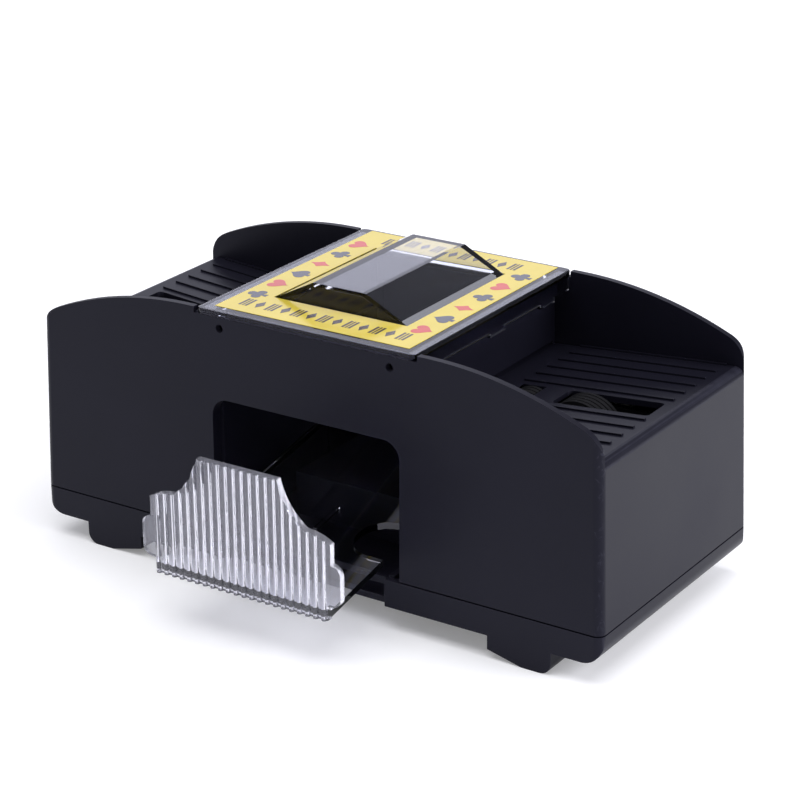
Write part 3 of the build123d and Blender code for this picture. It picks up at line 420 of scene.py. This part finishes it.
def markRoundedEdges(mesh, width):
    # the wear of an edge, and the painted highlight on it, show only on its own narrow faces
    mark = mesh.attributes.new("roundedEdge", "FLOAT", "FACE")
    for face in mesh.polygons:
        corners = [mesh.vertices[index].co for index in face.vertices]
        shortest = min((a - b).length for a, b in zip(corners, corners[1:] + corners[:1]))
        mark.data[face.index].value = float(shortest < width and len(corners) < 5)


def softened(node, look):
    rough = mergedCopy(node)
    bevel = rough.modifiers.new("softEdge", "BEVEL")
    bevel.width = look["width"] * mm
    bevel.segments = look["segments"]
    bevel.limit_method = "ANGLE"
    bevel.angle_limit = radians(look["angle"])
    bevel.use_clamp_overlap = True
    graph = bpy.context.evaluated_depsgraph_get()
    mesh = bpy.data.meshes.new_from_object(rough.evaluated_get(graph))
    bpy.data.objects.remove(rough)
    smoothed(mesh, look["sharp"])
    markRoundedEdges(mesh, look["width"] * mm)
    piece = placed(node + "_moulded", mesh)
    flat = piece.modifiers.new("flatFaces", "WEIGHTED_NORMAL")  # keeps the large flat faces flat
    flat.keep_sharp = True
    flat.weight = 100
    standFor(piece, node)
    mesh.materials.clear()
    mesh.materials.append(finishFor(node))
    if "frontDepth" in look:  # the ribbed front scatters a little more light than the floor behind it
        mesh.materials.append(ribbedFront)
        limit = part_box(node)[0].y + look["frontDepth"] * mm
        for face in mesh.polygons:
            face.material_index = int(face.center.y < limit)
    print("softened", node, len(mesh.polygons), "faces")


for node, look in softEdges.items():
    softened(node, look)


# the button's return spring, a smoothed copy of its CAD shape

springValues = {"node": "button_spring", "joint": "button_press", "axis": (0, 1, 0), "sharp": 40}


def pressedSpring(look):
    node = look["node"]
    coil = mergedCopy(node)
    coil.name = node + "_coil"
    smoothed(coil.data, look["sharp"])
    coil.data.materials.append(finishFor(node))
    standFor(coil, node)
    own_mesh(coil)


pressedSpring(springValues)
print("spring ready")


# printed suits and ornaments on the yellow sheet, in millimetres

printValues = {"lift": 0.01, "thickness": 0.03}
suitValues = {
    "size": 7.5, "column": 32.0, "pitch": 11.8, "first": -27.6,
    "order": {-1: ("club", "heart", "spade", "diamond", "club", "heart"),
              1: ("heart", "spade", "diamond", "club", "heart", "club")},
}
bandValues = {
    "size": 6.2, "pitch": 5.0,
    "front": {"y": -35.6, "count": 13}, "back": {"y": 39.2, "count": 11},
}


def heartOutline(steps=28):
    points = []
    for i in range(steps):
        t = 2 * pi * i / steps
        x = 16 * sin(t) ** 3
        y = 13 * cos(t) - 5 * cos(2 * t) - 2 * cos(3 * t) - cos(4 * t)
        points.append((x / 32, (y + 2) / 32))
    return [points]


def diamondOutline(steps=6):
    corners = [(0, 0.5), (0.36, 0), (0, -0.5), (-0.36, 0)]
    points = []
    for a, b in zip(corners, corners[1:] + corners[:1]):
        for i in range(steps):
            f = i / steps
            pull = 1 - 0.12 * sin(pi * f)  # the sides curve inwards
            points.append(((a[0] + (b[0] - a[0]) * f) * pull, (a[1] + (b[1] - a[1]) * f) * pull))
    return [points]


def disc(x, y, radius, steps=20):
    turns = [2 * pi * i / steps for i in range(steps)]
    return [(x + radius * cos(turn), y + radius * sin(turn)) for turn in turns]


def reach(shape, centre, angle):
    # how far a ray from the centre goes before it last leaves the shape
    dx, dy = cos(angle), sin(angle)
    far = 0
    for (ax, ay), (bx, by) in zip(shape, shape[1:] + shape[:1]):
        ex, ey = bx - ax, by - ay
        across = dx * ey - dy * ex
        if abs(across) < 1e-9:
            continue
        away = ((ax - centre[0]) * ey - (ay - centre[1]) * ex) / across
        along = ((ax - centre[0]) * dy - (ay - centre[1]) * dx) / across
        if away > 0 and 0 <= along <= 1:
            far = max(far, away)
    return far


def joined(shapes, centre, steps=96):
    # one outline round several overlapping shapes
    points = []
    for i in range(steps):
        angle = 2 * pi * i / steps
        far = max(reach(shape, centre, angle) for shape in shapes)
        points.append((centre[0] + far * cos(angle), centre[1] + far * sin(angle)))
    return [points]


foot = [(0, 0.05), (-0.15, -0.5), (0.15, -0.5)]  # under a club and a spade


def clubOutline():
    leaves = [disc(0, 0.26, 0.22), disc(-0.25, -0.08, 0.22), disc(0.25, -0.08, 0.22), disc(0, 0.02, 0.14)]
    return joined(leaves + [foot], (0, 0.02))


def spadeOutline():
    leaf = [(x * 0.95, -y * 0.95 + 0.06) for x, y in heartOutline()[0]]
    return joined([leaf, foot], (0, -0.02))


def flatPiece(name, outlines, material):
    work = bmesh.new()
    for outline in outlines:
        verts = [work.verts.new((x, y, 0)) for x, y in outline]
        face = work.faces.new(verts)
        face.normal_update()
        if face.normal.z < 0:
            face.normal_flip()
    mesh = bpy.data.meshes.new(name)
    work.to_mesh(mesh)
    work.free()
    mesh.materials.append(material)
    return placed(name, mesh)


def newGeometryTree(name, inputs):
    tree = bpy.data.node_groups.new(name, "GeometryNodeTree")
    tree.interface.new_socket(name="Geometry", in_out="INPUT", socket_type="NodeSocketGeometry")
    for title, kind, value in inputs:
        socket = tree.interface.new_socket(name=title, in_out="INPUT", socket_type=kind)
        if value is not None:
            socket.default_value = value
    tree.interface.new_socket(name="Geometry", in_out="OUTPUT", socket_type="NodeSocketGeometry")
    return tree


def printRowTree():
    # a straight row of one printed mark
    tree = newGeometryTree("printRow", [
        ("Mark", "NodeSocketObject", None), ("Count", "NodeSocketInt", 6),
        ("Start", "NodeSocketVector", None), ("Step", "NodeSocketVector", None),
        ("Turn", "NodeSocketVector", None),
        ("Size", "NodeSocketFloat", 0.005), ("Ink", "NodeSocketMaterial", None)])
    add, link = tree.nodes.new, tree.links.new
    start, end = add("NodeGroupInput"), add("NodeGroupOutput")
    line = add("GeometryNodeMeshLine")
    link(start.outputs["Count"], line.inputs["Count"])
    link(start.outputs["Start"], line.inputs["Start Location"])
    link(start.outputs["Step"], line.inputs["Offset"])
    mark = add("GeometryNodeObjectInfo")
    link(start.outputs["Mark"], mark.inputs["Object"])
    place = add("GeometryNodeInstanceOnPoints")
    link(line.outputs["Mesh"], place.inputs["Points"])
    link(mark.outputs["Geometry"], place.inputs["Instance"])
    link(start.outputs["Turn"], place.inputs["Rotation"])
    grow = add("ShaderNodeCombineXYZ")
    for i in range(3):
        link(start.outputs["Size"], grow.inputs[i])
    link(grow.outputs[0], place.inputs["Scale"])
    real = add("GeometryNodeRealizeInstances")
    link(place.outputs["Instances"], real.inputs["Geometry"])
    ink = add("GeometryNodeSetMaterial")
    link(real.outputs["Geometry"], ink.inputs["Geometry"])
    link(start.outputs["Ink"], ink.inputs["Material"])
    link(ink.outputs["Geometry"], end.inputs[0])
    return tree


def applyTree(name, tree, values):
    holder = placed(name + "Holder", bpy.data.meshes.new(name + "Seed"))
    modifier = holder.modifiers.new("nodes", "NODES")
    modifier.node_group = tree
    for item in tree.interface.items_tree:
        if item.in_out == "INPUT" and item.name in values:
            modifier[item.identifier] = values[item.name]
    graph = bpy.context.evaluated_depsgraph_get()
    mesh = bpy.data.meshes.new_from_object(holder.evaluated_get(graph))
    bpy.data.objects.remove(holder)
    return placed(name, mesh)


def pressPrint(piece, thickness):
    # a print has a little thickness, so its underside is closed
    work = bmesh.new()
    work.from_mesh(piece.data)
    result = bmesh.ops.extrude_face_region(work, geom=list(work.faces))
    moved = [item for item in result["geom"] if isinstance(item, bmesh.types.BMVert)]
    bmesh.ops.translate(work, verts=moved, vec=(0, 0, thickness))
    bmesh.ops.recalc_face_normals(work, faces=work.faces)
    work.to_mesh(piece.data)
    work.free()


def box(x0, x1, y0, y1):
    return [(x0, y0), (x1, y0), (x1, y1), (x0, y1)]


marks = {
    "club": (clubOutline(), blackInk), "heart": (heartOutline(), redInk),
    "spade": (spadeOutline(), blackInk), "diamond": (diamondOutline(), redInk),
    "lozenge": ([[(0, 0.5), (-0.25, 0), (0, -0.5), (0.25, 0)]], bandInk),
    "bars": ([box(left, right, -0.5, 0.5) for left, right in ((-0.27, -0.13), (-0.05, 0.05), (0.13, 0.27))],
             bandInk),
}
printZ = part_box("cover_sheet")[1].z + printValues["lift"] * mm
rowTree = printRowTree()


def printRow(mark, name, count, start, step, turn, size):
    outlines, ink = marks[mark]
    symbol = flatPiece(mark + "Mark", outlines, ink)
    piece = applyTree(name, rowTree, {"Mark": symbol, "Count": count, "Start": start, "Step": step,
                                      "Turn": (0, 0, turn), "Size": size * mm, "Ink": ink})
    bpy.data.objects.remove(symbol)
    pressPrint(piece, printValues["thickness"] * mm)
    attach(piece, "cover")


def printSuits(look):
    # the suits lie on their sides, with their feet towards +X
    for side, order in look["order"].items():
        for mark in ("club", "heart", "spade", "diamond"):
            places = [i for i, one in enumerate(order) if one == mark]
            stride = places[1] - places[0] if len(places) > 1 else 1
            start = (side * look["column"] * mm, (look["first"] + places[0] * look["pitch"]) * mm, printZ)
            printRow(mark, f"{mark}_prints_{'left' if side < 0 else 'right'}", len(places), start,
                     (0, stride * look["pitch"] * mm, 0), pi / 2, look["size"])


def printBands(look):
    # a plain border of lozenges and bars in front of the hood and behind it
    for end in ("front", "back"):
        y, count = look[end]["y"] * mm, look[end]["count"]
        for offset, mark in ((0, "bars"), (1, "lozenge")):
            first = (offset - (count - 1) / 2) * look["pitch"] * mm
            printRow(mark, f"{mark}_band_{end}", (count + 1 - offset) // 2, (first, y, printZ),
                     (2 * look["pitch"] * mm, 0, 0), 0, look["size"])


printSuits(suitValues)
printBands(bandValues)
print("cover printed")


# camera, in millimetres and degrees

cameraValues = {
    "azimuth": 33.66, "elevation": 21.82, "roll": 0.62, "distance": 848.7, "aim": (4.6, 0, 56.2),
    "lens": 115.5, "sensor": 36, "nearest": 10,
}


def makeCamera(look):
    az, el, roll = (radians(look[key]) for key in ("azimuth", "elevation", "roll"))
    back = Vector((sin(az) * cos(el), -cos(az) * cos(el), sin(el)))
    right = Vector((cos(az), sin(az), 0))
    up = back.cross(right)
    tiltedRight = right * cos(roll) - up * sin(roll)
    tiltedUp = right * sin(roll) + up * cos(roll)
    data = bpy.data.cameras.new("mainCamera")
    data.lens = look["lens"]
    data.sensor_width = look["sensor"]
    data.clip_start = look["nearest"] * mm
    camera = placed("mainCamera", data)
    place = Vector(look["aim"]) * mm + back * look["distance"] * mm
    camera.matrix_world = Matrix((
        (tiltedRight.x, tiltedUp.x, back.x, place.x),
        (tiltedRight.y, tiltedUp.y, back.y, place.y),
        (tiltedRight.z, tiltedUp.z, back.z, place.z),
        (0, 0, 0, 1)))
    bpy.context.scene.camera = camera


# floor, lights and world, in metres and watts

floorValues = {
    "half": 6, "dark": (0.86, 0.86, 0.86), "light": (0.90, 0.90, 0.90), "grainScale": 400, "cloudScale": 3,
    "rough": 0.9, "specular": 0.1, "glow": 0.2,
}


def makeFloor(look):
    # a pale table, lit a little from within so that the shadows stay soft
    work = bmesh.new()
    bmesh.ops.create_grid(work, x_segments=8, y_segments=8, size=look["half"])
    mesh = bpy.data.meshes.new("studioFloor")
    work.to_mesh(mesh)
    work.free()
    paint = Paint("palePaper")
    grain = paint.group(grainGroup, Scale=look["grainScale"], Cloud_Scale=look["cloudScale"], Strength=1)
    colour = paint.mix(grain.outputs["Cloud"], look["dark"], look["light"])
    paint.link(colour, paint.shader.inputs["Base Color"])
    paint.set(Roughness=look["rough"], Specular_IOR_Level=look["specular"])
    paint.set(Emission_Color=(1, 1, 1, 1), Emission_Strength=look["glow"])
    mesh.materials.append(paint.material)
    placed("studioFloor", mesh)


lights = {
    "overhead": {"place": (0.0, -0.2, 1.5), "aim": (0, 0, 0), "size": (1.8, 1.4), "power": 21,
                 "tint": (0.97, 0.97, 1)},
    "rightSoftbox": {"place": (1.35, 0.35, 0.7), "aim": (0.1, 0.1, 0), "size": (1.0, 0.9), "power": 22,
                     "tint": (0.94, 0.94, 1)},
    "backPanel": {"place": (-0.93, 1.39, 0.75), "aim": (0, 0, 0.09), "size": (1.4, 0.8), "power": 4.2,
                  "tint": (0.84, 0.85, 1)},
    "frontFill": {"place": (-0.6, -1.3, 0.6), "aim": (0, 0, 0.05), "size": (1.0, 0.8), "power": 2.2,
                  "tint": (0.95, 0.96, 1)},
}


def makeLight(name, look):
    data = bpy.data.lights.new(name, "AREA")
    data.shape = "RECTANGLE"
    data.size, data.size_y = look["size"]
    data.energy = look["power"]
    data.color = look["tint"]
    lamp = placed(name, data)
    place, aim = Vector(look["place"]), Vector(look["aim"])
    lamp.location = place
    lamp.rotation_euler = (aim - place).to_track_quat("-Z", "Y").to_euler()


worldValues = {"colour": (0.90, 0.91, 1, 1), "strength": 0.34}


def makeWorld(look):
    world = bpy.data.worlds.new("studio")
    world.use_nodes = True
    back = world.node_tree.nodes["Background"]
    back.inputs["Color"].default_value = look["colour"]
    back.inputs["Strength"].default_value = look["strength"]
    bpy.context.scene.world = world
    bpy.context.scene.view_settings.view_transform = "Standard"


makeWorld(worldValues)
makeFloor(floorValues)
for name, look in lights.items():
    makeLight(name, look)
makeCamera(cameraValues)
print("stage ready")
